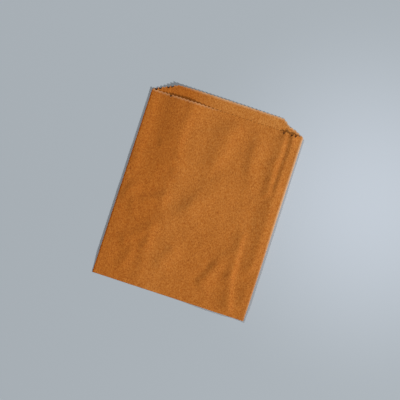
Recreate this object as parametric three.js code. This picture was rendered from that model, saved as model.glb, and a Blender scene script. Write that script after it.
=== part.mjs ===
// An empty flat bag of brown kraft paper with a saw-cut lip, lying on its back: one folded, glued sheet.
// X runs across the bag, Y from the bottom fold to the mouth and Z up from the table, in millimetres.
import * as THREE from 'three';

// Sizes of the bag pressed flat
const bagWidth = 216;
const frontLength = 262.9;
const lipHeight = 16.5;
const lipSlantRun = 32.4;
const paper = 0.1;

// The overlap glued down the back, and the end that is folded under and glued
const seamWidth = 12;
const seamFromLeft = 59.4;
const flapHeight = 20;
const plyStep = 0.2;

// Saw teeth of the cut edges
const toothPitch = 5.4;
const toothDepth = 1.4;

// Gaps between the middles of the two panels, as the empty bag lies
const closedGap = 0.5;
const sideGap = 2.4;
const bellyGap = 3.3;
const sideReach = 16;
const sideFromBottom = 30;
const bellyFromBottom = 70;
const bellyFromMouth = 110;
const bellyFlatness = 4;

// Roundness of the folds, and where the back panel drops to the level of the flap
const sideRound = 1.1;
const bottomRound = 0.5;
const flapDip = 2;

// How far the springy folds and the lip stand off the table, and over what distance
const leftLift = 0.9;
const rightLiftBottom = 1.5;
const rightLiftMouth = 0.4;
const sideLiftReach = 25;
const bottomLift = 0.8;
const bottomLiftFromRight = 46;
const bottomLiftHalfWidth = 28;
const bottomLiftReach = 12;
const lipLiftLeft = 1.2;
const lipLiftRight = 0.3;
const lipLiftReach = 26;

// Fineness of the facets
const frontColumnPitch = 5.4;
const backColumnPitch = 14;
const rowPitch = 12;
const rimBand = 6;
const roundSteps = 3;
const lipRows = 2;

// Edges of the middle of the paper, and the places that the rest is measured from
const bagLength = frontLength + lipHeight;
const right = (bagWidth - paper) / 2;
const bottom = -bagLength / 2 + paper / 2;
const mouth = -bagLength / 2 + frontLength;
const lipTop = bagLength / 2;
const seamX = seamFromLeft - bagWidth / 2;
const flapTop = flapHeight - bagLength / 2;
const fromLeft = (distance) => distance - bagWidth / 2;
const fromRight = (distance) => bagWidth / 2 - distance;
const fromMouth = (distance) => mouth - distance;
const fromBottom = (distance) => distance - bagLength / 2;

// Ridges and hollows of the front panel. Each runs along the line between two places, and has a reach on
// either side of it and a height on it, which is below zero for a hollow.
const ridges = {
  mouthLeft: [[seamX, mouth], [seamX, fromMouth(45)], 19, 1.5],
  mouthRight: [[fromRight(14), mouth], [fromRight(14), fromMouth(8)], 15, 0.8],
  seamShowsThrough: [[seamX, mouth], [seamX, fromBottom(8)], 6, 0.45],
  leftHollow: [[fromLeft(17), fromMouth(4)], [fromLeft(16), fromMouth(98)], 9, -0.7],
  leftDent: [[fromLeft(36), fromMouth(50)], [fromLeft(32), fromMouth(80)], 9, -0.4],
  leftCross: [[fromLeft(6), fromBottom(132)], [fromLeft(36), fromBottom(129)], 7, -0.4],
  leftCrossSwell: [[fromLeft(16), fromBottom(114)], [fromLeft(34), fromBottom(112)], 9, 0.35],
  leftSlant: [[fromLeft(46), fromBottom(88)], [fromLeft(36), fromBottom(70)], 7, 0.4],
  leftLow: [[fromLeft(44), fromBottom(60)], [fromLeft(38), fromBottom(42)], 8, -0.35],
  middleSlant: [[fromRight(100), fromBottom(154)], [fromRight(137), fromBottom(102)], 9, 0.55],
  middleLow: [[fromRight(128), fromBottom(56)], [fromRight(120), fromBottom(44)], 9, 0.35],
  fluteHollow: [[fromRight(73), fromMouth(10)], [fromRight(72), fromMouth(75)], 11, -0.35],
  innerFlute: [[fromRight(57), fromMouth(14)], [fromRight(58), fromMouth(82)], 9, 0.4],
  innerHollow: [[fromRight(40), fromMouth(16)], [fromRight(39), fromMouth(88)], 7, -0.65],
  outerFlute: [[fromRight(26), fromMouth(2)], [fromRight(25), fromMouth(88)], 5, 0.5],
  outerHollow: [[fromRight(20), fromMouth(2)], [fromRight(19), fromMouth(82)], 4, -0.45],
  sideRidge: [[fromRight(13), fromMouth(6)], [fromRight(13), fromBottom(76)], 6, 0.5],
  dentHollow: [[fromRight(63), fromBottom(84)], [fromRight(80), fromBottom(40)], 8, -0.5],
  dentRidge: [[fromRight(53), fromBottom(80)], [fromRight(69), fromBottom(36)], 6, 0.5],
  creaseUpper: [[fromRight(36), fromBottom(102)], [fromRight(38), fromBottom(54)], 5, 0.45],
  creaseLower: [[fromRight(38), fromBottom(54)], [fromRight(27), fromBottom(6)], 5, 0.45],
};

const smooth = THREE.MathUtils.smoothstep;
const bySide = (distance, reach) => Math.max(0, 1 - distance / reach) ** 2;

// Height of one ridge at a point: full on its line, and falling off on every side
function ridgeHeight(x, y, [from, to, reach, height]) {
  const [dx, dy] = [to[0] - from[0], to[1] - from[1]];
  const along = ((x - from[0]) * dx + (y - from[1]) * dy) / (dx * dx + dy * dy);
  const t = THREE.MathUtils.clamp(along, 0, 1);
  const distance = Math.hypot(x - from[0] - t * dx, y - from[1] - t * dy);
  return height * Math.exp(-((distance / reach) ** 2));
}

// How far the side folds, the bottom fold and the lip spring up from the table
function springLift(x, y) {
  const up = (y - bottom) / (lipTop - bottom);
  const across = (x + right) / (2 * right);
  const side = leftLift * bySide(x + right, sideLiftReach)
    + THREE.MathUtils.lerp(rightLiftBottom, rightLiftMouth, up) * bySide(right - x, sideLiftReach);
  const spread = Math.max(0, 1 - ((x - fromRight(bottomLiftFromRight)) / bottomLiftHalfWidth) ** 2) ** 2;
  const low = bottomLift * spread * bySide(y - bottom, bottomLiftReach);
  const curl = Math.max(0, (y - lipTop + lipLiftReach) / lipLiftReach) ** 2;
  return side + low + THREE.MathUtils.lerp(lipLiftLeft, lipLiftRight, across) * curl;
}

// Gap between the middles of the front and back panels
function panelGap(x, y) {
  const inFromSide = Math.min(x + right, right - x);
  const hold = Math.exp(-((inFromSide / sideReach) ** 2)) * smooth(y - bottom, 0, sideFromBottom);
  const across = 1 - Math.abs(x / right) ** bellyFlatness;
  const belly = smooth(y - bottom, 0, bellyFromBottom) * smooth(mouth - y, 0, bellyFromMouth);
  let gap = closedGap + (sideGap - closedGap) * hold + bellyGap * across * belly;
  for (const ridge of Object.values(ridges)) {
    gap += ridgeHeight(x, y, ridge);
  }
  return Math.max(closedGap, gap);
}

const evenly = (from, to, pitch) => {
  const steps = Math.max(1, Math.round((to - from) / pitch));
  return Array.from({ length: steps + 1 }, (_, i) => from + ((to - from) * i) / steps);
};

// Columns across each panel; the back's have a step of one ply at either edge of the seam
const panelEnd = right - sideRound;
const frontColumns = evenly(-panelEnd, panelEnd, frontColumnPitch);
const seamEdges = [seamX - seamWidth / 2, seamX + seamWidth / 2];
const seamStep = [seamEdges[0] - plyStep, ...seamEdges, seamEdges[1] + plyStep];
const backColumns = [
  ...evenly(-panelEnd, seamEdges[0] - plyStep, backColumnPitch),
  ...seamEdges,
  ...evenly(seamEdges[1] + plyStep, panelEnd, backColumnPitch),
];
const onSeam = (x) => Math.abs(x - seamX) < (seamWidth + plyStep) / 2;
// Columns nearer to each other than this count as the same
const sameColumn = sideRound / 10;
const onPanel = (x) => Math.abs(x) < panelEnd + sameColumn;

// The back panel lies one ply up, on the flap and the seam, and comes down to the table at the bottom fold
function backMiddle(x, y) {
  return springLift(x, y) + paper / 2 + paper * smooth(y - bottom, bottomRound, bottomRound + flapDip);
}

// Middle of the paper on the front (side 1) or back (side -1), where the folds bring the two together
function paperMiddle(x, y, side) {
  const intoSide = Math.max(0, (Math.abs(x) - panelEnd) / sideRound);
  const intoBottom = Math.max(0, 1 - (y - bottom) / bottomRound);
  const open = Math.sqrt(Math.max(0, 1 - intoSide ** 2)) * Math.sqrt(Math.max(0, 1 - intoBottom ** 2));
  const gap = panelGap(x, y);
  return backMiddle(x, y) + (gap / 2) * (1 + side * open);
}

// A thin sheet: points on the middle of the paper, and strips of triangles between rows of points
class Sheet {
  points = [];
  gluedPlies = [];
  triangles = [];

  point(x, y, z, gluedPlies = 0) {
    this.points.push(new THREE.Vector3(x, y, z));
    this.gluedPlies.push(gluedPlies);
    return this.points.length - 1;
  }

  // Joins a lower and an upper row, both running along +X, with faces up (side 1) or down (side -1)
  strip(lower, upper, side) {
    let [i, j] = [0, 0];
    while (i < lower.length - 1 || j < upper.length - 1) {
      const nextLower = i < lower.length - 1 ? this.points[lower[i + 1]].x : Infinity;
      const nextUpper = j < upper.length - 1 ? this.points[upper[j + 1]].x : Infinity;
      const along = nextLower <= nextUpper;
      const corners = along ? [lower[i], lower[i + 1], upper[j]] : [lower[i], upper[j + 1], upper[j]];
      if (new Set(corners).size === 3) {
        this.triangles.push(side > 0 ? corners : corners.reverse());
      }
      i += along ? 1 : 0;
      j += along ? 0 : 1;
    }
  }

  // The closed solid: an outer and an inner face, with a wall along each open edge
  thicken(ply) {
    const middle = new THREE.BufferGeometry().setFromPoints(this.points);
    middle.setIndex(this.triangles.flat());
    middle.computeVertexNormals();
    const normals = middle.getAttribute('normal');
    const moved = (distance) => this.points.map((p, i) => (
      new THREE.Vector3().fromBufferAttribute(normals, i).multiplyScalar(distance(i)).add(p)));
    const outer = moved((i) => ply * (0.5 + this.gluedPlies[i]));
    const inner = moved(() => -ply / 2);
    const count = outer.length;
    const faces = [...this.triangles];
    const edges = new Set(this.triangles.flatMap(([a, b, c]) => [`${a},${b}`, `${b},${c}`, `${c},${a}`]));
    for (const [a, b, c] of this.triangles) {
      faces.push([c + count, b + count, a + count]);
      for (const [from, to] of [[a, b], [b, c], [c, a]]) {
        if (!edges.has(`${to},${from}`)) {
          faces.push([to, from, from + count], [to, from + count, to + count]);
        }
      }
    }
    const solid = new THREE.BufferGeometry().setFromPoints([...outer, ...inner]);
    solid.setIndex(faces.flat());
    solid.computeVertexNormals();
    return solid;
  }
}

// Saw teeth from one place to another, with tips on the left of the line and each end at a tip or a root
function sawEdge(from, to, startsAtTip, endsAtTip) {
  const run = to.clone().sub(from);
  const half = startsAtTip === endsAtTip ? 0 : 0.5;
  const halfTeeth = 2 * (Math.max(1, Math.round(run.length() / toothPitch - half)) + half);
  const intoPaper = new THREE.Vector2(run.y, -run.x).setLength(toothDepth);
  return Array.from({ length: halfTeeth + 1 }, (_, i) => {
    const atTip = (i % 2 === 0) === startsAtTip;
    return from.clone().addScaledVector(run, i / halfTeeth).addScaledVector(intoPaper, atTip ? 0 : 1);
  });
}

// A cut edge as a row of points along +X, with a point also at each given column that has none yet
function cutRow(edge, columns) {
  const inside = (x) => x > edge[0].x && x < edge.at(-1).x;
  const taken = (x) => edge.some((p) => Math.abs(p.x - x) < sameColumn);
  const extra = columns.filter((x) => inside(x) && !taken(x)).map((x) => {
    const next = edge.findIndex((p) => p.x > x);
    const [a, b] = [edge[next - 1], edge[next]];
    return new THREE.Vector2(x, THREE.MathUtils.lerp(a.y, b.y, (x - a.x) / (b.x - a.x)));
  });
  return [...edge, ...extra].sort((a, b) => a.x - b.x);
}

const corner = (x, y) => new THREE.Vector2(x, y);
const lipEnd = right - lipSlantRun;

// The side folds are cut at a root, which both panels share
const frontEdge = sawEdge(corner(-right, mouth), corner(right, mouth), false, false);
const leftSlant = sawEdge(corner(-right, mouth), corner(-lipEnd, lipTop), false, true);
const lipEdge = sawEdge(corner(-lipEnd, lipTop), corner(lipEnd, lipTop), true, true);
const rightSlant = sawEdge(corner(lipEnd, lipTop), corner(right, mouth), true, false);
const backEdge = [...leftSlant.slice(0, -1), ...lipEdge, ...rightSlant.slice(1)];
for (const edge of [frontEdge, backEdge]) {
  edge[0].set(-right, mouth - toothDepth);
  edge.at(-1).set(right, mouth - toothDepth);
}

// The lip's outline without its teeth
function lipOutline(x) {
  const rise = THREE.MathUtils.clamp((right - Math.abs(x)) / lipSlantRun, 0, 1);
  return THREE.MathUtils.lerp(mouth, lipTop, rise);
}

// Points across the round of a fold, from its outermost line to where the panel begins
const roundPlaces = Array.from({ length: roundSteps }, (_, i) => Math.cos((i * Math.PI) / 2 / roundSteps));
const sidePlaces = roundPlaces.slice(1).map((share) => panelEnd + sideRound * share);
const leftSideColumns = sidePlaces.map((x) => -x);
const rightSideColumns = [...sidePlaces].reverse();
const withSides = (columns) => [...leftSideColumns, ...columns, ...rightSideColumns];

// Rows of rings up the bag: below the flap's edge, and from above it to the band below the cut edges
const lowRows = [
  ...roundPlaces.slice(1).map((share) => bottom + bottomRound * (1 - share)),
  bottom + bottomRound,
  bottom + bottomRound + flapDip,
  flapTop - rimBand,
];
const highRows = evenly(flapTop + rimBand, mouth - rimBand, rowPitch);

// The whole folded sheet, as a bag that the bottom fold closes and the cut edges leave open
function makeBag() {
  const sheet = new Sheet();
  const place = (x, y, side, plies) => sheet.point(x, y, paperMiddle(x, y, side), plies);
  const pliesAt = (x, inFlap) => (onSeam(x) || (inFlap && onPanel(x)) ? 1 : 0);
  const backPlace = (p, inFlap) => place(p.x, p.y, -1, pliesAt(p.x, inFlap));
  const ringAt = (y) => {
    const [start, end] = [place(-right, y, 1), place(right, y, 1)];
    const aboveFold = y > bottom + bottomRound;
    const backPlies = (x) => (aboveFold ? pliesAt(x, y < flapTop) : 0);
    const front = withSides(frontColumns).map((x) => place(x, y, 1));
    const back = withSides(backColumns).map((x) => place(x, y, -1, backPlies(x)));
    return { front: [start, ...front, end], back: [start, ...back, end] };
  };

  const fold = ringAt(bottom).front;
  let front = fold;
  let back = fold;
  const climb = (frontRow, backRow) => {
    sheet.strip(front, frontRow, 1);
    sheet.strip(back, backRow, -1);
    [front, back] = [frontRow, backRow];
  };
  const between = (points, inFlap) => {
    const row = [back[0], ...points.map((p) => backPlace(p, inFlap)), back.at(-1)];
    sheet.strip(back, row, -1);
    back = row;
  };

  for (const y of lowRows) {
    const ring = ringAt(y);
    climb(ring.front, ring.back);
  }
  const flapTeeth = sawEdge(corner(-panelEnd, flapTop), corner(panelEnd, flapTop), false, false);
  const flapEdge = cutRow(flapTeeth, seamStep);
  between(flapEdge, true);
  between(flapEdge.map((p) => corner(p.x, p.y + plyStep)), false);
  for (const y of highRows) {
    const ring = ringAt(y);
    climb(ring.front, ring.back);
  }
  for (let i = 1; i <= lipRows; i += 1) {
    const share = i / (lipRows + 1);
    const rowAt = (x) => THREE.MathUtils.lerp(highRows.at(-1), lipOutline(x), share);
    between(backColumns.map((x) => corner(x, rowAt(x))), false);
  }
  const frontRim = cutRow(frontEdge, withSides([])).map((p) => place(p.x, p.y, 1));
  const backRim = cutRow(backEdge, withSides(seamStep)).slice(1, -1).map((p) => backPlace(p, false));
  climb(frontRim, [frontRim[0], ...backRim, frontRim.at(-1)]);
  return sheet.thicken(paper);
}

const kraftPaper = new THREE.MeshStandardMaterial({ color: 0xab672a, roughness: 0.85, metalness: 0 });
const paperBag = new THREE.Mesh(makeBag(), kraftPaper);
paperBag.name = 'paper_bag';

const bag = new THREE.Group();
bag.add(paperBag);

export default bag;
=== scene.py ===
import math

import bpy
import numpy as np
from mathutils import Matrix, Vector, noise


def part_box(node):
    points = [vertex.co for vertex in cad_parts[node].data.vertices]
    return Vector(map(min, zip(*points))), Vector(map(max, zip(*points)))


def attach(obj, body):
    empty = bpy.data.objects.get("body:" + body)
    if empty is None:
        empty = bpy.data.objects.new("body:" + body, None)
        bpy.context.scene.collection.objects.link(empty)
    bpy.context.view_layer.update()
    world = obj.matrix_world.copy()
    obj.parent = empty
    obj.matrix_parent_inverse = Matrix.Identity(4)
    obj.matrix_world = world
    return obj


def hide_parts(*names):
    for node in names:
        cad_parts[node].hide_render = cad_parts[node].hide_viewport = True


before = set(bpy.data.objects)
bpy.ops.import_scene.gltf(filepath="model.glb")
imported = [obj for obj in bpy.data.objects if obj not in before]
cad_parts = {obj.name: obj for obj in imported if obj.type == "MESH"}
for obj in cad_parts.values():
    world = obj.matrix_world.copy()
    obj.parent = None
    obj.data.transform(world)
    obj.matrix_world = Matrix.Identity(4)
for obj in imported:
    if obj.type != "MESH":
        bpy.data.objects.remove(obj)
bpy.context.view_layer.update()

# Shape sizes are in millimetres, as in the CAD model, with places from the bag's centre. The floor, the
# camera and the lamps are in metres, and so are the finished meshes.
MM = 0.001

# The frame's box gives the bag's overall sizes
low, high = (Vector(corner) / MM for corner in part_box("paper_bag"))
BAG_WIDTH = high.x - low.x
BAG_LENGTH = high.y - low.y

# Sizes of the bag pressed flat
LIP_HEIGHT = 16.5
LIP_SLANT_RUN = 32.4
PAPER = 0.1
SEAM_WIDTH = 12
SEAM_FROM_LEFT = 59.4
FLAP_HEIGHT = 20
PLY_STEP = 0.2

# Saw teeth, and the places along the front's cut edge where it is torn in deeper than the teeth
TOOTH_PITCH = 5.4
TOOTH_DEPTH = 1.4
LIP_TOOTH_DEPTH = 0.8
TEARS = (-81, 81, 91.8, 97.2)
TEAR_DEPTH = 0.9

# Places along the lip's left slant where the roots of the teeth are darkened with painted shadow
SHADOWED_ROOTS = (-103, -98, -89, -84)

# Gaps between the middles of the two panels, as the empty bag lies
CLOSED_GAP = 0.35
CLOSEST_ROUNDING = 0.25
LEFT_GAP = 1.8
RIGHT_GAP = 2.2
BELLY_GAP = 2.2
BELLY_FLATNESS = 4
SIDE_REACH = 16
SIDE_FROM_BOTTOM = 30
BELLY_FROM_BOTTOM = 70
BELLY_FROM_MOUTH = 110

# Where the front lies shut on the lip: how far below the mouth, and at which places coming from the left
# and from the right, the gap starts to close and is closed
SHUT_BELOW_MOUTH = (16, 3)
SHUT_FROM_LEFT = (-26, 2)
SHUT_FROM_RIGHT = (84, 72)

# Roundness of the folds, and where the back panel drops to the level of the flap
SIDE_ROUND = 2.4
BOTTOM_ROUND = 0.7
FLAP_DIP = 2

# How far the springy folds and the lip stand off the table, and over what distance
LEFT_LIFT = 0.1
RIGHT_LIFT_BOTTOM = 1.5
RIGHT_LIFT_MOUTH = 0.4
SIDE_LIFT_REACH = 25
BOTTOM_LIFT = 1.5
BOTTOM_LIFT_FROM_RIGHT = 52
BOTTOM_LIFT_HALF_WIDTH = 44
BOTTOM_LIFT_REACH = 16
LIP_LIFT_LEFT = 1.5
LIP_LIFT_RIGHT = 0.7
LIP_LIFT_REACH = 26

# The lip's gentle arch, and its left corner, which curls up and so looks rounded from above
LIP_ARCH = 0.9
LIP_ARCH_X = -14
LIP_ARCH_REACH = 55
LIP_ARCH_BELOW_MOUTH = 40
CORNER_REACH = 11
CORNER_CURL = 0.022
CORNER_PULL = 0.013
CORNER_OUTWARD = (-0.236, 0.972)

# A dent that pulls the lip's right slant in and up
SLANT_DENT = (86.5, 134)
SLANT_DENT_REACH = 6.5
SLANT_DENT_PULL = (-1.0, -1.9)
SLANT_DENT_LIFT = 0.9

# Small creases all over the front panel: (size across, height). Their sharp tops stand where the noise
# crosses zero, and this share of the height is above the panel.
CRUMPLES = [(30, 0.45), (14, 0.26), (6, 0.08)]
CRUMPLE_TOP = 0.6

# Creases of the front panel. Each runs from one point to another, and has a reach on its side toward the
# lamp, a reach on its other side, and a height (below zero for a hollow), which is multiplied by the scale.
CREASES = {
    "seam at the mouth": ((-45, 142), (-51, 90), 18, 34, 2.6),
    "left of the mouth": ((-80, 142), (-76, 116), 18, 16, 0.9),
    "seam": ((-48, 140), (-48, -130), 6, 8, 0.45),
    "seam, upper half": ((-50, 66), (-52, 36), 6, 22, 0.9),
    "seam, low end": ((-44, -92), (-42, -126), 13, 22, 0.6),
    "left hollow": ((-92, 135), (-91, 30), 20, 8, -1.0),
    "upper streak": ((4, 96), (-73, 58), 13, 6, 0.7),
    "left cross, upper": ((-100, 31), (-52, 35), 22, 9, 0.9),
    "left cross, lower": ((-53, -16), (-84, -30), 13, 8, 1.6),
    "left cross, end": ((-91, -12), (-99, -26), 9, 8, 1.2),
    "left slant": ((-50, -54), (-80, -83), 8, 8, 1.2),
    "left blob": ((-49, -78), (-53, -88), 6, 9, 0.8),
    "left low": ((-68, -92), (-74, -117), 6, 8, 0.9),
    "middle low": ((-14, -82), (-24, -98), 12, 11, 1.6),
    "middle spot": ((-27, 73), (-27, 57), 8, 7, 0.5),
    "middle patch": ((-43, 56), (-42, 22), 10, 5, 0.8),
    "middle flute": ((15, 111), (5, 58), 12, 17, 1.9),
    "middle slant, top": ((7, 20), (-5, -6), 28, 11, 1.25),
    "middle slant": ((-5, -7), (-15, -20), 16, 10, 0.7),
    "middle slant, low end": ((-14, -20), (-36, -37), 15, 10, 1.1),
    "inner flute": ((50, 94), (57, 40), 14, 9, 0.9),
    "inner flute, top": ((50, 128), (50, 100), 12, 16, 0.4),
    "inner flute, bend": ((47, 86), (50, 62), 10, 6, 0.7),
    "outer flute": ((82, 125), (86, 36), 3.5, 9, 1.2),
    "outer flute, bend": ((81, 80), (84, 52), 4, 6, 0.6),
    "side ridge, upper": ((95.5, 131), (95.5, 45), 7, 3.5, 1.0),
    "side ridge, lower": ((96, 42), (97, -62), 11, 14, 1.8),
    "side ridge, blob": ((99, -97), (99, -114), 6, 8, 0.8),
    "dent hollow": ((43, -76), (27, -104), 6, 6, -0.35),
    "dent ridge": ((61, -57), (50, -80), 10, 8, 0.9),
    "dent ridge, low end": ((51, -82), (38, -106), 9, 8, 1.2),
    "sharp crease, upper": ((73, -34), (73, -87), 3.2, 9, 1.5),
    "sharp crease, lower": ((73, -87), (84, -134), 3.6, 11, 1.25),
    "bottom corner": ((80, -124), (81, -139), 14, 13, 0.9),
    "right corner of the mouth": ((93, 140), (93, 117), 9, 11, 1.5),
    "pinch by the right corner": ((93, 125), (93, 121), 3.5, 3.5, 0.9),
}
CREASE_SCALE = 1.7
TOWARD_LAMP = (0.92, -0.38)

# The reach turns from one side's to the other's between minus and plus this, where 1 is straight toward the
# lamp, and points nearer to a crease's line than this distance count as on it
REACH_BLEND = 0.6
ON_LINE = 0.01

# Creases fade within this distance of the folds to this share, and wander off their straight lines
FOLD_FADE = 14
CREASE_AT_FOLD = 0.25
WANDER_ACROSS = 1.8
WANDER_ALONG = 3.0
WANDER_SIZE = 26

# Noise is longer along the bag than across it by this much, and this gain takes it to about -1 to 1
NOISE_STRETCH = 1.4
NOISE_GAIN = 1.6
WANDER_SEEDS = (1.3, 5.1)
CRUMPLE_SEED = 3.7
TONE_SEED = 9.2
FRAY_SEED = 2.9

# Tone of the paper, where 1 is its plain colour, with painted shade in it: the panel left of the seam, the
# lip's left end and a band along the left fold are kept deeper as painted shade. Each change has an amount,
# the places across the bag where it starts and is full, and such places along the bag.
WHOLE_LENGTH = (-BAG_LENGTH, -BAG_LENGTH / 2)
PANEL_TONE = 0.874
PANEL_TONE_CHANGES = {
    "paler past the seam": (0.12, (-68, -22), WHOLE_LENGTH),
    "deeper low on the right": (-0.055, (-30, 10), (0, -100)),
    "paler high on the right": (0.03, (30, 95), (50, 110)),
}
# The lip's deeper left end is painted shade
LIP_TONE = 0.83
LIP_TONE_CHANGES = {
    "paler past its left end": (0.25, (-62, -8), WHOLE_LENGTH),
    "paler toward its right end": (0.06, (30, 70), WHOLE_LENGTH),
}
LIP_TONE_BLEND = 1
TONE_WANDER = 9
TONE_WANDER_SIZE = 45
# Painted shade along the left fold, which turns away from the key lamp, and how far in from it it starts
# and is full
LEFT_FOLD_SHADE = 0.2
LEFT_FOLD_SHADE_BAND = (2.6, 0.4)

# How far the side folds are rubbed pale, from 0 to 1; on the right fold, which faces the key lamp, the
# paleness is also a painted highlight. The right one's upper half has more, and the band says how far in
# from a fold the rub starts and is full.
LEFT_RUB = 0.1
RIGHT_RUB_AND_HIGHLIGHT = 0.3
RIGHT_RUB_AND_HIGHLIGHT_MORE = 0.45
RIGHT_RUB_AND_HIGHLIGHT_GROWS = (-70, 20)
RUB_AND_HIGHLIGHT_BAND = (3.4, 0.8)

# Fraying of the cut edges, from 0 to 1. The front's grows to the left. The lip's grows from its left end,
# is less in the roots of the teeth, and comes and goes.
FRONT_FRAY = 0.08
FRONT_FRAY_MORE = 0.4
FRONT_FRAY_GROWS = (0, -40)
LIP_FRAY_LEFT = 0.45
LIP_FRAY_GROWS = (-75, -30)
ROOT_FRAY_LOSS = 0.3
FRAY_LEVEL = 0.8
FRAY_SWING = 0.3
FRAY_SIZE = 7

# Rows that follow a cut edge: how far in from it, their share of its fraying, and how dark the painted
# shadow is there at its tears and at the shadowed roots; on the edge itself both are of one darkness
RIM_ROWS = ((2.2, 0.4, 0.5, 2.2), (0.9, 0.85, 2.2, 4))
CUT_DARKNESS = 2

# Fineness of the mesh. The even rows leave a band free beside a cut edge, the last of them stays clear of
# the tears, and those on the lip stop short of its edge.
FRONT_PITCH = 1.8
BACK_PITCH = 3.6
ROW_PITCH = 2.0
RIM_BAND = 1.6
LAST_ROW_CLEAR = 2.0
LIP_RIM = 4.0
ROUND_STEPS = 6
LIP_ROWS = 9
SHARP_ANGLE = math.radians(50)

# Floor, camera and lamps. The camera looks straight down, turned so that the bag leans to the right as in
# the photograph, and its sensor is in millimetres.
FLOOR_HALF = 3.0
FLOOR_BELOW = 0.00003
# A painted pool of light on the floor: its centre and how far it reaches, in metres
PAINTED_LIGHT_POOL = (0.22, 0.07, 0)
PAINTED_LIGHT_POOL_REACH = 0.29
PHOTO_PIXELS = 400
MM_PER_PIXEL = 1.3602
SENSOR_WIDTH = 36
CAMERA_HEIGHT = 1.5
CAMERA_TURN = math.radians(18.17)
CAMERA_AIM = (0.0008, -0.0013)
LAMP_DISTANCE = 6
LAMP_SIZE = 0.6

# Places that follow from the sizes
RIGHT = (BAG_WIDTH - PAPER) / 2
BOTTOM = (-BAG_LENGTH + PAPER) / 2
LIP_TOP = BAG_LENGTH / 2
MOUTH = LIP_TOP - LIP_HEIGHT
FLAP_TOP = FLAP_HEIGHT - BAG_LENGTH / 2
PANEL_END = RIGHT - SIDE_ROUND
LIP_END = RIGHT - LIP_SLANT_RUN
LAST_ROW = MOUTH - TOOTH_DEPTH - TEAR_DEPTH - LAST_ROW_CLEAR - RIM_BAND / 2
BOTTOM_LIFT_X = BAG_WIDTH / 2 - BOTTOM_LIFT_FROM_RIGHT
SEAM_X = SEAM_FROM_LEFT - BAG_WIDTH / 2
SEAM_EDGES = (SEAM_X - SEAM_WIDTH / 2, SEAM_X + SEAM_WIDTH / 2)
BESIDE_SEAM = (SEAM_EDGES[0] - PLY_STEP, SEAM_EDGES[1] + PLY_STEP)
SEAM_COLUMNS = (BESIDE_SEAM[0], *SEAM_EDGES, BESIDE_SEAM[1])

# The two roots at the side folds that the front's and the back's cut edges share
FOLD_ROOTS = [(-RIGHT, MOUTH - TOOTH_DEPTH), (RIGHT, MOUTH - TOOTH_DEPTH)]

# Columns of points that are nearer to each other than this count as one
SAME_COLUMN = SIDE_ROUND / 10


def mix(start, end, share):
    return start + (end - start) * share


def smooth(value, start, end):
    """0 at the start and 1 at the end, with a soft rise between them."""
    share = np.clip((value - start) / (end - start), 0, 1)
    return share * share * (3 - 2 * share)


def by_side(distance, reach):
    """1 at a side, falling to 0 at the reach."""
    return np.maximum(0, 1 - distance / reach) ** 2


def evenly(start, end, pitch):
    return np.linspace(start, end, max(1, round((end - start) / pitch)) + 1)


def waves(x, y, size, seed):
    """Smooth noise from about -1 to 1, longer along the bag than across it."""
    places = zip(x / size, y / (NOISE_STRETCH * size))
    return NOISE_GAIN * np.array([noise.noise(Vector((*place, seed))) for place in places])


def crease_height(x, y, start, end, lit_reach, far_reach, height):
    """Full on the crease's line, and falling off on each side by that side's reach."""
    dx, dy = end[0] - start[0], end[1] - start[1]
    along = np.clip(((x - start[0]) * dx + (y - start[1]) * dy) / (dx * dx + dy * dy), 0, 1)
    off_x, off_y = x - start[0] - along * dx, y - start[1] - along * dy
    distance = np.hypot(off_x, off_y)
    side = (off_x * TOWARD_LAMP[0] + off_y * TOWARD_LAMP[1]) / np.maximum(distance, ON_LINE)
    reach = mix(far_reach, lit_reach, smooth(side, -REACH_BLEND, REACH_BLEND))
    return height * np.exp(-((distance / reach) ** 2))


def slant_dent(x, y):
    """1 in the middle of the dent in the lip's right slant, and less around it."""
    return np.exp(-(((x - SLANT_DENT[0]) ** 2 + (y - SLANT_DENT[1]) ** 2) / SLANT_DENT_REACH**2))


def past_corner(x, y):
    """How far a point is past the line where the lip's left corner starts to curl."""
    out = (x + LIP_END) * CORNER_OUTWARD[0] + (y - LIP_TOP) * CORNER_OUTWARD[1]
    return np.maximum(0, out + CORNER_REACH)


def spring_lift(x, y):
    """How far the side folds, the bottom fold and the lip spring up from the table."""
    up = (y - BOTTOM) / (LIP_TOP - BOTTOM)
    across = (x + RIGHT) / (2 * RIGHT)
    left = LEFT_LIFT * by_side(x + RIGHT, SIDE_LIFT_REACH)
    right = mix(RIGHT_LIFT_BOTTOM, RIGHT_LIFT_MOUTH, up) * by_side(RIGHT - x, SIDE_LIFT_REACH)
    spread = np.maximum(0, 1 - ((x - BOTTOM_LIFT_X) / BOTTOM_LIFT_HALF_WIDTH) ** 2) ** 2
    bottom = BOTTOM_LIFT * spread * by_side(y - BOTTOM, BOTTOM_LIFT_REACH)
    arch = LIP_ARCH * np.exp(-(((x - LIP_ARCH_X) / LIP_ARCH_REACH) ** 2))
    arch = arch * smooth(y, MOUTH - LIP_ARCH_BELOW_MOUTH, LIP_TOP)
    corner = CORNER_CURL * past_corner(x, y) ** 2 + SLANT_DENT_LIFT * slant_dent(x, y)
    curl = np.maximum(0, (y - LIP_TOP + LIP_LIFT_REACH) / LIP_LIFT_REACH) ** 2
    return left + right + bottom + arch + corner + mix(LIP_LIFT_LEFT, LIP_LIFT_RIGHT, across) * curl


def shut_mouth(x, y):
    """1 along the right part of the mouth, where the front lies on the lip."""
    return smooth(MOUTH - y, *SHUT_BELOW_MOUTH) * smooth(x, *SHUT_FROM_LEFT) * smooth(x, *SHUT_FROM_RIGHT)


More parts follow.
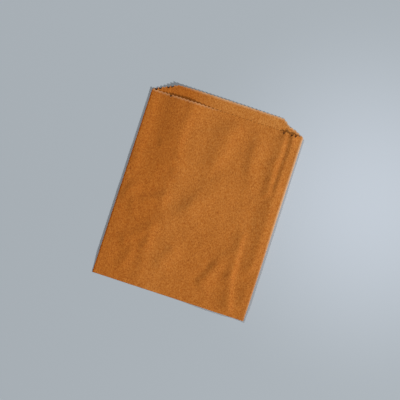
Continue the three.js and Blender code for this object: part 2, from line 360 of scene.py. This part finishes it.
def panel_gap(x, y):
    """Gap between the middles of the front and the back, with every crease of the front in it."""
    from_side = RIGHT - np.abs(x)
    hold = np.exp(-((from_side / SIDE_REACH) ** 2)) * smooth(y - BOTTOM, 0, SIDE_FROM_BOTTOM)
    belly = smooth(y - BOTTOM, 0, BELLY_FROM_BOTTOM) * smooth(MOUTH - y, 0, BELLY_FROM_MOUTH)
    belly = belly * (1 - np.abs(x / RIGHT) ** BELLY_FLATNESS)
    gap = (np.where(x < 0, LEFT_GAP, RIGHT_GAP) - CLOSED_GAP) * hold + BELLY_GAP * belly
    inside = smooth(np.minimum(from_side, y - BOTTOM), 0, FOLD_FADE)
    bent_x = x + WANDER_ACROSS * inside * waves(x, y, WANDER_SIZE, WANDER_SEEDS[0])
    bent_y = y + WANDER_ALONG * inside * waves(x, y, WANDER_SIZE, WANDER_SEEDS[1])
    kept = mix(CREASE_AT_FOLD, 1, inside)
    for crease in CREASES.values():
        gap = gap + crease_height(bent_x, bent_y, *crease) * CREASE_SCALE * kept
    for size, height in CRUMPLES:
        gap = gap + height * inside * (CRUMPLE_TOP - np.abs(waves(x, y, size, CRUMPLE_SEED)))
    gap = gap * (1 - shut_mouth(x, y))
    return CLOSED_GAP + (gap + np.hypot(gap, CLOSEST_ROUNDING)) / 2


def back_middle(x, y):
    ply = PAPER * smooth(y - BOTTOM, BOTTOM_ROUND, BOTTOM_ROUND + FLAP_DIP)
    return spring_lift(x, y) + PAPER / 2 + ply


def paper_middle(x, y, side):
    """Middle of the paper on the front (side 1) or back (side -1), which the folds bring together."""
    into_side = np.maximum(0, (np.abs(x) - PANEL_END) / SIDE_ROUND)
    into_bottom = np.maximum(0, 1 - (y - BOTTOM) / BOTTOM_ROUND)
    opened = np.sqrt(np.maximum(0, 1 - into_side**2)) * np.sqrt(np.maximum(0, 1 - into_bottom**2))
    return back_middle(x, y) + panel_gap(x, y) / 2 * (1 + side * opened)


def worn_fold_and_highlight(x, y):
    """How far the side folds are rubbed pale, the right one most, and there its upper half; on the right
    fold the paleness is also a painted highlight.
    """
    rub_and_highlight = np.where(x > 0, RIGHT_RUB_AND_HIGHLIGHT + RIGHT_RUB_AND_HIGHLIGHT_MORE * smooth(y, *RIGHT_RUB_AND_HIGHLIGHT_GROWS), LEFT_RUB)
    return smooth(RIGHT - np.abs(x), *RUB_AND_HIGHLIGHT_BAND) * rub_and_highlight


def changed(tone_and_shade, x, y, changes):
    """A tone with its changes added where they count."""
    for amount, across, along in changes.values():
        tone_and_shade = tone_and_shade + amount * smooth(x, *across) * smooth(y, *along)
    return tone_and_shade


def paper_tone_and_shade(x, y):
    """Tone of the paper with painted shade: deeper at the left, most on the lip, and paler on the rest of
    the lip;
    the deeper left, the lip's left end and the band along the left fold are painted shade.
    """
    bent = x + TONE_WANDER * waves(x, y, TONE_WANDER_SIZE, TONE_SEED)
    panel = changed(PANEL_TONE, bent, y, PANEL_TONE_CHANGES)
    lip = changed(LIP_TONE, x, y, LIP_TONE_CHANGES)
    on_lip = smooth(y, MOUTH - LIP_TONE_BLEND, MOUTH + LIP_TONE_BLEND)
    # Painted shade along the left fold
    left_fold_shade = LEFT_FOLD_SHADE * smooth(RIGHT + x, *LEFT_FOLD_SHADE_BAND)
    return panel * (1 - on_lip) + lip * on_lip - left_fold_shade


def saw_edge(start, end, starts_at_tip, ends_at_tip, depth=TOOTH_DEPTH):
    """Saw teeth between two places, with tips on the left of the line and each end at a tip or a root."""
    start, end = np.array(start, float), np.array(end, float)
    run = end - start
    length = np.hypot(*run)
    half = 0 if starts_at_tip == ends_at_tip else 0.5
    half_teeth = int(2 * (max(1, round(length / TOOTH_PITCH - half)) + half))
    into_paper = np.array([run[1], -run[0]]) / length * depth
    steps = np.arange(half_teeth + 1)
    at_root = (steps % 2 == 0) != starts_at_tip
    return start + run * (steps / half_teeth)[:, None] + into_paper * at_root[:, None]


def cut_row(edge, columns):
    """A cut edge's points along +X, with a point also at each column that it doesn't have yet."""
    columns = np.array([x for x in columns if edge[0, 0] < x < edge[-1, 0]])
    columns = columns[np.abs(edge[:, :1] - columns).min(axis=0) > SAME_COLUMN]
    extra = np.column_stack([columns, np.interp(columns, edge[:, 0], edge[:, 1])])
    points = np.vstack([edge, extra])
    return points[np.argsort(points[:, 0])]


def lip_outline(x):
    """The line through the tips of the lip's teeth."""
    rise = np.clip((RIGHT - np.abs(x)) / LIP_SLANT_RUN, 0, 1)
    return mix(MOUTH, LIP_TOP, rise)


def front_edge():
    """The front's saw-cut edge, torn in deeper at some of its roots."""
    edge = saw_edge((-RIGHT, MOUTH), (RIGHT, MOUTH), False, False)
    for tear in TEARS:
        edge[np.abs(edge[:, 0] - tear).argmin(), 1] -= TEAR_DEPTH
    edge[[0, -1]] = FOLD_ROOTS
    return edge


def back_edge():
    """The back's saw-cut edge: up one slant of the lip, along its top and down the other slant."""
    left = saw_edge((-RIGHT, MOUTH), (-LIP_END, LIP_TOP), False, True)
    lip = saw_edge((-LIP_END, LIP_TOP), (LIP_END, LIP_TOP), True, True, LIP_TOOTH_DEPTH)
    right = saw_edge((LIP_END, LIP_TOP), (RIGHT, MOUTH), True, False)
    edge = np.vstack([left[:-1], lip, right[1:]])
    edge[[0, -1]] = FOLD_ROOTS
    return edge


def beside_seam(xs):
    """1 on the lines right beside the seam's two edges, where a glue line with painted shade goes."""
    return np.any([np.isclose(xs, x) for x in BESIDE_SEAM], axis=0).astype(float)


def glued_at(xs, in_flap):
    """1 where a second ply is glued under the back: on the seam, and all across the flap."""
    on_seam = np.abs(xs - SEAM_X) < (SEAM_WIDTH + PLY_STEP) / 2
    on_panel = np.abs(xs) < PANEL_END + SAME_COLUMN
    return (on_seam | (in_flap & on_panel)).astype(float)


def point_normals(points, faces):
    """A normal at each point, from the faces around it."""
    a, b, c = (points[faces[:, k]] for k in range(3))
    face_normals = np.cross(b - a, c - a)
    normals = np.zeros_like(points)
    for k in range(3):
        np.add.at(normals, faces[:, k], face_normals)
    return normals / np.linalg.norm(normals, axis=1, keepdims=True)


def add_object(name, data):
    made = bpy.data.objects.new(name, data)
    bpy.context.scene.collection.objects.link(made)
    return made


class Sheet:
    """A thin sheet: points on the middle of the paper, and strips of triangles between rows of points."""

    def __init__(self):
        self.points, self.triangles = [], []
        self.glued, self.frayed, self.pinched, self.glue_line_and_shade = [], [], [], []

    def row(self, xs, ys, side, glued=0, frayed=0, pinched=0, glue_line_and_shade=0):
        """Adds points from left to right, and returns their numbers."""
        xs = np.asarray(xs, float)
        ys = np.broadcast_to(np.asarray(ys, float), xs.shape)
        first = len(self.points)
        pull = CORNER_PULL * past_corner(xs, ys) ** 2
        dent = slant_dent(xs, ys)
        pulled_x = xs - CORNER_OUTWARD[0] * pull + SLANT_DENT_PULL[0] * dent
        pulled_y = ys - CORNER_OUTWARD[1] * pull + SLANT_DENT_PULL[1] * dent
        self.points += list(zip(pulled_x, pulled_y, paper_middle(xs, ys, side)))
        self.glued += list(np.broadcast_to(glued, xs.shape))
        # Pale edges: the fraying of a cut edge, or the rub of a side fold, which on the right fold is also
        # a painted highlight
        self.frayed += list(np.maximum(frayed, worn_fold_and_highlight(xs, ys)))
        self.pinched += list(np.broadcast_to(pinched, xs.shape))
        self.glue_line_and_shade += list(np.broadcast_to(glue_line_and_shade, xs.shape))
        return list(range(first, first + len(xs)))

    def strip(self, lower, upper, side):
        """Joins two rows that run along +X, with faces up (side 1) or down (side -1)."""
        i = j = 0
        while i < len(lower) - 1 or j < len(upper) - 1:
            next_lower = self.points[lower[i + 1]][0] if i < len(lower) - 1 else math.inf
            next_upper = self.points[upper[j + 1]][0] if j < len(upper) - 1 else math.inf
            along = next_lower <= next_upper
            corners = (lower[i], lower[i + 1], upper[j]) if along else (lower[i], upper[j + 1], upper[j])
            if len(set(corners)) == 3:
                self.triangles.append(corners if side > 0 else corners[::-1])
            i, j = (i + 1, j) if along else (i, j + 1)

    def walls(self):
        """A face along each open edge, from the outer to the inner points."""
        count = len(self.points)
        directed = {(face[k], face[(k + 1) % 3]) for face in self.triangles for k in range(3)}
        rim = [edge for edge in directed if edge[::-1] not in directed]
        return [(to, start, start + count, to + count) for start, to in sorted(rim)]

    def thicken(self, name):
        """The closed solid as an object. The outer face stands further out where a ply is glued on."""
        points, faces = np.array(self.points), np.array(self.triangles)
        normals = point_normals(points, faces)
        outer = points + normals * (PAPER * (0.5 + np.array(self.glued)))[:, None]
        inner = points - normals * PAPER / 2
        all_faces = faces.tolist() + (faces[:, ::-1] + len(points)).tolist() + self.walls()
        mesh = bpy.data.meshes.new(name)
        mesh.from_pydata((np.vstack([outer, inner]) * MM).tolist(), [], all_faces)
        looks = {
            "frayed": np.tile(self.frayed, 2),
            "pinched": np.tile(self.pinched, 2),
            "tone_and_shade": np.tile(paper_tone_and_shade(points[:, 0], points[:, 1]), 2),
            "glue_line_and_shade": np.concatenate([self.glue_line_and_shade, np.zeros(len(points))]),
        }
        for key, values in looks.items():
            attribute = mesh.attributes.new(key, "FLOAT", "POINT")
            attribute.data.foreach_set("value", values.astype(np.float32))
        mesh.validate()
        mesh.shade_smooth()
        mesh.set_sharp_from_angle(angle=SHARP_ANGLE)
        return add_object(name, mesh)


class Bag(Sheet):
    """The whole folded sheet, row by row from the bottom fold, which closes it, up to the cut edges."""

    def __init__(self):
        super().__init__()
        round_shares = np.cos(np.arange(1, ROUND_STEPS) * math.pi / 2 / ROUND_STEPS)
        self.sides = PANEL_END + SIDE_ROUND * round_shares
        self.back_panel = np.concatenate([
            evenly(-PANEL_END, BESIDE_SEAM[0], BACK_PITCH),
            evenly(*SEAM_EDGES, BACK_PITCH),
            evenly(BESIDE_SEAM[1], PANEL_END, BACK_PITCH),
        ])
        self.front_columns = self.with_sides(evenly(-PANEL_END, PANEL_END, FRONT_PITCH))
        self.back_columns = self.with_sides(self.back_panel)
        self.front = self.back = self.row(self.front_columns, BOTTOM, 1)
        for y in BOTTOM + BOTTOM_ROUND * (1 - round_shares):
            self.ring(y)
        self.ring(BOTTOM + BOTTOM_ROUND)
        self.over_flap()
        for y in evenly(FLAP_TOP + RIM_BAND, LAST_ROW, ROW_PITCH):
            self.ring(y)
        for share in np.arange(1, LIP_ROWS + 1) / LIP_ROWS:
            ys = mix(LAST_ROW, lip_outline(self.back_panel) - LIP_RIM, share)
            self.back_row(self.back_panel, ys, False)
        self.cut_edges()

    def with_sides(self, panel):
        """A panel's columns with those of the side folds' rounds before and after them."""
        return np.concatenate([-self.sides, panel, self.sides[::-1]])

    def front_to(self, row):
        self.strip(self.front, row, 1)
        self.front = row

    def back_to(self, row):
        self.strip(self.back, row, -1)
        self.back = row

    def ring(self, y):
        """A row all round the bag, which the front and the back share at the side folds."""
        left, right = self.row([-RIGHT, RIGHT], y, 1)
        front = self.row(self.front_columns, y, 1)
        glued = glued_at(self.back_columns, y < FLAP_TOP) if y > BOTTOM + BOTTOM_ROUND else 0
        back = self.row(self.back_columns, y, -1, glued, glue_line_and_shade=beside_seam(self.back_columns))
        self.front_to([left, *front, right])
        self.back_to([left, *back, right])

    def back_row(self, xs, ys, in_flap, glue_line_and_shade=0):
        """A row of the back alone, between the side folds."""
        glue_line_and_shade = np.maximum(beside_seam(xs), glue_line_and_shade)
        row = self.row(xs, ys, -1, glued_at(xs, in_flap), glue_line_and_shade=glue_line_and_shade)
        self.back_to([self.back[0], *row, self.back[-1]])

    def over_flap(self):
        """Rows up to the flap's saw-cut edge, and the step from it down to the back panel."""
        last = FLAP_TOP - TOOTH_DEPTH - RIM_BAND
        for y in evenly(BOTTOM + BOTTOM_ROUND + FLAP_DIP, last, ROW_PITCH):
            self.ring(y)
        teeth = saw_edge((-PANEL_END, FLAP_TOP), (PANEL_END, FLAP_TOP), False, False)
        xs, ys = cut_row(teeth, SEAM_COLUMNS).T
        self.back_row(xs, ys, True)
        # The step up to the flap gets a glue line with painted shade
        self.back_row(xs, ys + PLY_STEP, False, 1)

    def front_cut(self):
        """The front's cut edge, with how frayed and how torn it is at each point."""
        xs, ys = cut_row(front_edge(), [*-self.sides, *self.sides]).T
        frayed = FRONT_FRAY + FRONT_FRAY_MORE * smooth(xs, *FRONT_FRAY_GROWS)
        torn = ys < MOUTH - TOOTH_DEPTH - TEAR_DEPTH / 2
        return np.array([xs, ys, frayed, torn])

    def back_cut(self):
        """The back's cut edge between the side folds, with how frayed it is and where painted shadow
        darkens it.
        """
        xs, ys = cut_row(back_edge(), [*-self.sides, *SEAM_COLUMNS, *self.sides])[1:-1].T
        into_root = np.clip((lip_outline(xs) - ys) / TOOTH_DEPTH, 0, 1)
        frayed = (1 - ROOT_FRAY_LOSS * into_root) * mix(LIP_FRAY_LEFT, 1, smooth(xs, *LIP_FRAY_GROWS))
        frayed = frayed * (FRAY_LEVEL + FRAY_SWING * waves(xs, ys, FRAY_SIZE, FRAY_SEED))
        roots = np.flatnonzero(into_root > 0.5)
        pinched = np.zeros(len(xs))
        # Painted shadow at the roots nearest the listed places
        for pinch in SHADOWED_ROOTS:
            pinched[roots[np.abs(xs[roots] - pinch).argmin()]] = 1
        return np.array([xs, ys, frayed, pinched])

    def cut_edges(self):
        """The last rows, up to the cut edges, which meet at a point on each side fold."""
        front, back = self.front_cut(), self.back_cut()
        glued = glued_at(back[0], False)
        # Painted shadow darkens the tears and the shadowed roots on these rows and on the edge itself
        for inward, share, tear_shadow, pinched_dark in RIM_ROWS:
            xs, ys, frayed, torn = front[:, 1:-1]
            row = self.row(xs, ys - inward, 1, 0, frayed * share, torn * tear_shadow)
            self.front_to([self.front[0], *row, self.front[-1]])
            xs, ys, frayed, pinched = back
            row = self.row(xs, ys - inward, -1, glued, frayed * share, pinched * pinched_dark)
            self.back_to([self.back[0], *row, self.back[-1]])
        xs, ys, frayed, torn = front
        front_rim = self.row(xs, ys, 1, 0, frayed, torn * CUT_DARKNESS)
        xs, ys, frayed, pinched = back
        back_rim = self.row(xs, ys, -1, glued, frayed, pinched * CUT_DARKNESS)
        self.front_to(front_rim)
        self.back_to([front_rim[0], *back_rim, front_rim[-1]])


class Material:
    """A node material, with short calls for the kinds of node used here."""

    def __init__(self, name):
        self.data = bpy.data.materials.new(name)
        self.data.use_nodes = True
        self.tree = self.data.node_tree
        self.shader = self.tree.nodes["Principled BSDF"]

    def feed(self, made, inputs):
        """Sets a node's inputs by name or number, or links them where another node's output is given."""
        for key, value in inputs.items():
            if isinstance(value, bpy.types.NodeSocket):
                self.tree.links.new(value, made.inputs[key])
            else:
                made.inputs[key].default_value = value

    def node(self, kind, inputs, **properties):
        """Adds a node with its inputs and properties set, and returns its outputs."""
        made = self.tree.nodes.new(kind)
        for key, value in properties.items():
            setattr(made, key, value)
        self.feed(made, inputs)
        return made.outputs

    def mapped(self, **mapping):
        """The object's coordinates, moved or scaled."""
        place = self.node("ShaderNodeTexCoord", {})["Object"]
        return self.node("ShaderNodeMapping", {"Vector": place, **mapping})["Vector"]

    def noise(self, scale, detail, stretch):
        inputs = {"Scale": scale, "Detail": detail, "Vector": self.mapped(Scale=stretch)}
        return self.node("ShaderNodeTexNoise", inputs)["Fac"]

    def mark(self, name):
        """One of the values that the mesh keeps at its points."""
        return self.node("ShaderNodeAttribute", {}, attribute_name=name)["Fac"]

    def ranged(self, value, from_low, from_high, to_low, to_high):
        """A value taken from one range to another, and held at the ends."""
        inputs = {
            "Value": value,
            "From Min": from_low,
            "From Max": from_high,
            "To Min": to_low,
            "To Max": to_high,
        }
        return self.node("ShaderNodeMapRange", inputs)["Result"]

    def mixed(self, factor, first, second):
        """A mix of two colours, which are the node's inputs 6 and 7, and its output 2."""
        return self.node("ShaderNodeMix", {0: factor, 6: first, 7: second}, data_type="RGBA")[2]


# Noise in the kraft paper: scale, detail, and stretch across, along and up, where less is longer
PAPER_NOISE = {
    "pulp": (260, 3, (1, 0.8, 1)),
    "mottle": (620, 3, (1.2, 0.7, 1)),
    "fibres": (3600, 4, (1, 0.13, 1)),
    "crossing fibres": (3000, 3, (0.2, 1, 1)),
    "flecks": (900, 2, (1.6, 0.5, 1)),
}

# Colours of the kraft paper, as red, green, blue and opacity
PULP_COLOURS = ((0.337, 0.085, 0.0056, 1), (0.427, 0.125, 0.0115, 1))
MOTTLE_COLOUR = (0.600, 0.236, 0.048, 1)
FLECK_COLOUR = (0.205, 0.040, 0.002, 1)
PALE_FIBRE = (0.560, 0.210, 0.036, 1)
DEEP_FIBRE = (0.250, 0.060, 0.005, 1)
# Pale frayed cut edges and rubbed folds, on the right fold also a painted highlight
PALE_EDGE_COLOUR = (0.68, 0.46, 0.27, 1)
# Near-black painted shadow
SHADED_COLOUR = (0.03, 0.010, 0.003, 1)

# Between which two values of its noise the pulp goes from its first colour to its second
PULP_RANGE = (0.32, 0.68)

# Layers on the pulp, from the noise and then from the mesh's marks: the values between which a layer comes
# in, how strong it gets, and its colour
NOISE_LAYERS = [
    ("mottle", 0.36, 0.72, 1, MOTTLE_COLOUR),
    ("flecks", 0.52, 0.72, 0.85, FLECK_COLOUR),
    ("fibres", 0.42, 0.66, 0.4, PALE_FIBRE),
    ("crossing fibres", 0.55, 0.72, 0.35, PALE_FIBRE),
    ("fibres", 0.50, 0.30, 0.4, DEEP_FIBRE),
]
MARK_LAYERS = [
    # pale frayed cut edges and rubbed folds, on the right fold also a painted highlight
    ("frayed", 0.1, 1.0, 0.75, PALE_EDGE_COLOUR),
    # painted shadow in the tears and at the shadowed tooth roots
    ("pinched", 0.5, 1.3, 0.97, SHADED_COLOUR),
    # a glue line with painted shade beside the seam's and the flap's ply steps
    ("glue_line_and_shade", 0.5, 1, 0.45, SHADED_COLOUR),
]

# How strongly the paper's tone and painted shade tell on red, green and blue: deep paper is more orange,
# pale paper greyer
TONE_GAINS = (0.7, 1.5, 3.3)

# The paper's surface: two values of the fibres' noise and the roughness at each, the gloss, and the bump of
# the fibres
ROUGHNESS_RANGE = (0.3, 0.7, 0.72, 0.9)
PAPER_GLOSS = {"Specular IOR Level": 0.12, "Sheen Weight": 0.03, "Sheen Roughness": 0.5}
FIBRE_BUMP = {"Strength": 0.4, "Distance": 0.00006}

# The floor's plain colour and the colour of its painted pool of light, and its gloss
FLOOR_COLOURS = ((0.410, 0.452, 0.487, 1), (0.552, 0.604, 0.668, 1))
FLOOR_GLOSS = {"Roughness": 0.9, "Specular IOR Level": 0.1}


def kraft_material():
    """Brown kraft: cloudy pulp, fine fibres along the bag, dark flecks and pale frayed cut edges, with
    painted shade in its tone, a painted highlight on the right fold, and painted shadow at the tears, the
    shadowed tooth roots and beside the ply steps.
    """
    made = Material("kraft_paper")
    grain = {name: made.noise(*values) for name, values in PAPER_NOISE.items()}
    colour = made.mixed(made.ranged(grain["pulp"], *PULP_RANGE, 0, 1), *PULP_COLOURS)
    for name, start, full, strength, layer in NOISE_LAYERS:
        colour = made.mixed(made.ranged(grain[name], start, full, 0, strength), colour, layer)
    # The tone, with painted shade in it, scales the colour's red, green and blue
    gains = {0: made.mark("tone_and_shade"), 1: TONE_GAINS, 2: [1 - gain for gain in TONE_GAINS]}
    tint = made.node("ShaderNodeVectorMath", gains, operation="MULTIPLY_ADD")["Vector"]
    colour = made.node("ShaderNodeVectorMath", {0: colour, 1: tint}, operation="MULTIPLY")["Vector"]
    for name, start, full, strength, layer in MARK_LAYERS:
        colour = made.mixed(made.ranged(made.mark(name), start, full, 0, strength), colour, layer)
    bump = made.node("ShaderNodeBump", {**FIBRE_BUMP, "Height": grain["fibres"]})["Normal"]
    roughness = made.ranged(grain["fibres"], *ROUGHNESS_RANGE)
    made.feed(made.shader, {"Base Color": colour, "Roughness": roughness, "Normal": bump, **PAPER_GLOSS})
    return made.data


def floor_material():
    """A pale grey board, with a painted pool of light in one broad patch to the right of the bag."""
    made = Material("pale_floor")
    centre = [-place / PAINTED_LIGHT_POOL_REACH for place in PAINTED_LIGHT_POOL]
    inside = made.mapped(Location=centre, Scale=[1 / PAINTED_LIGHT_POOL_REACH] * 3)
    light_pool = made.node("ShaderNodeTexGradient", {"Vector": inside}, gradient_type="SPHERICAL")["Fac"]
    soft = made.node("ShaderNodeMapRange", {"Value": light_pool}, interpolation_type="SMOOTHSTEP")["Result"]
    colour = made.mixed(soft, *FLOOR_COLOURS)
    made.feed(made.shader, {"Base Color": colour, **FLOOR_GLOSS})
    return made.data


def make_floor():
    """One plain square, a hair below the paper."""
    sides = [(-1, -1), (1, -1), (1, 1), (-1, 1)]
    corners = [(x * FLOOR_HALF, y * FLOOR_HALF, -FLOOR_BELOW) for x, y in sides]
    mesh = bpy.data.meshes.new("floor")
    mesh.from_pydata(corners, [], [(0, 1, 2, 3)])
    mesh.materials.append(floor_material())
    return add_object("floor", mesh)


def make_camera():
    data = bpy.data.cameras.new("camera")
    data.sensor_width = SENSOR_WIDTH
    data.lens = SENSOR_WIDTH * CAMERA_HEIGHT / (PHOTO_PIXELS * MM_PER_PIXEL * MM)
    made = add_object("camera", data)
    made.location = (*CAMERA_AIM, CAMERA_HEIGHT)
    made.rotation_euler = (0, 0, CAMERA_TURN)
    return made


def area_lamp(name, azimuth, elevation, watts):
    """A square lamp aimed at the bag. Azimuth is in the photograph: 0 is its right side, 90 its top."""
    turn, rise = math.radians(azimuth) + CAMERA_TURN, math.radians(elevation)
    away = Vector((math.cos(turn) * math.cos(rise), math.sin(turn) * math.cos(rise), math.sin(rise)))
    lamp = bpy.data.lights.new(name, "AREA")
    lamp.size, lamp.energy = LAMP_SIZE, watts
    made = add_object(name, lamp)
    made.location = away * LAMP_DISTANCE
    made.rotation_euler = (-away).to_track_quat("-Z", "Y").to_euler()


def light_world(colour, strength):
    world = bpy.data.worlds.new("world")
    bpy.context.scene.world = world
    world.use_nodes = True
    background = world.node_tree.nodes["Background"]
    background.inputs["Color"].default_value = (*colour, 1)
    background.inputs["Strength"].default_value = strength


bag = Bag().thicken("kraft_bag")
bag.data.materials.append(kraft_material())
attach(bag, "root")
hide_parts("paper_bag")

floor = make_floor()

camera = make_camera()
bpy.context.scene.camera = camera

area_lamp("key", azimuth=-38, elevation=27, watts=420)
area_lamp("second", azimuth=118, elevation=34, watts=208)
light_world(colour=(0.95, 0.97, 1.0), strength=0.115)

bpy.context.scene.view_settings.view_transform = "Standard"
